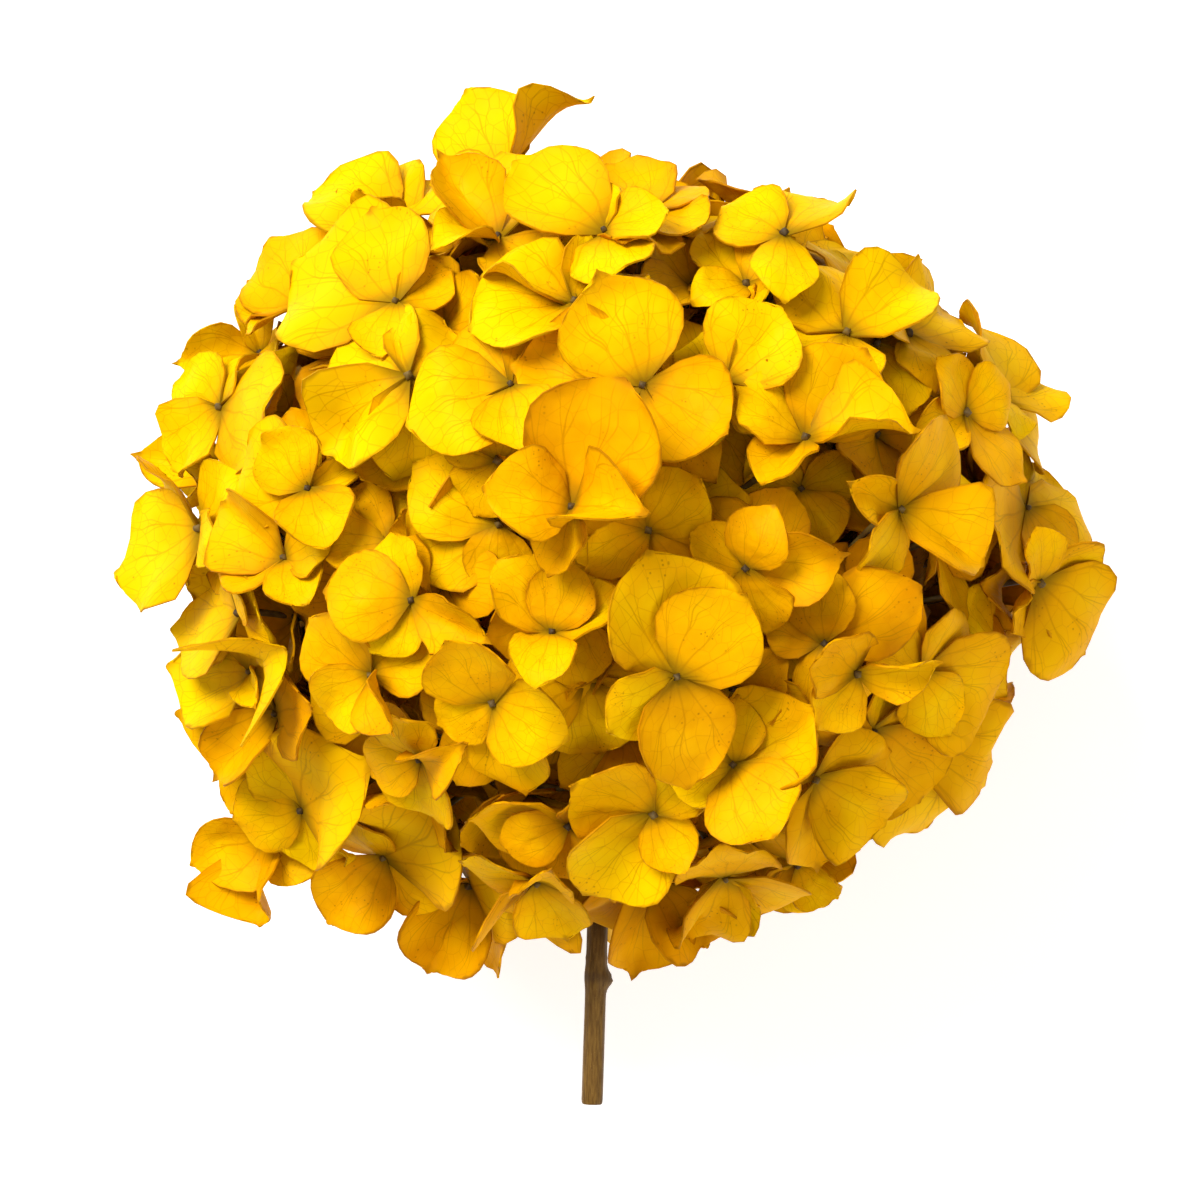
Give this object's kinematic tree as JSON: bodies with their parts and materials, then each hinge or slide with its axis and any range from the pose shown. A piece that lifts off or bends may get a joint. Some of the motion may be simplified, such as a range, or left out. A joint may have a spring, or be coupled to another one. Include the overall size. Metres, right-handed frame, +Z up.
{
  "type": "preserved hydrangea stem",
  "caption": "Round head of yellow, four-petalled florets on a short, brown, woody cut stem, lying on its back.",
  "frame": {"origin": "under the middle of the bounding box, on the surface that the head lies on", "axes": "+Z up from the surface, through the side of the head that shows; +Y from the cut end of the stem towards the crown of the head; +X to the right when seen from above with the stem towards the viewer"},
  "size_m": [0.1954, 0.2028, 0.1555],
  "materials": {
    "petals": "matte",
    "stem_bark": "satin"
  },
  "bodies": {
    "root": {"flower_head": "petals", "stem": "stem_bark"}
  },
  "joints": []
}
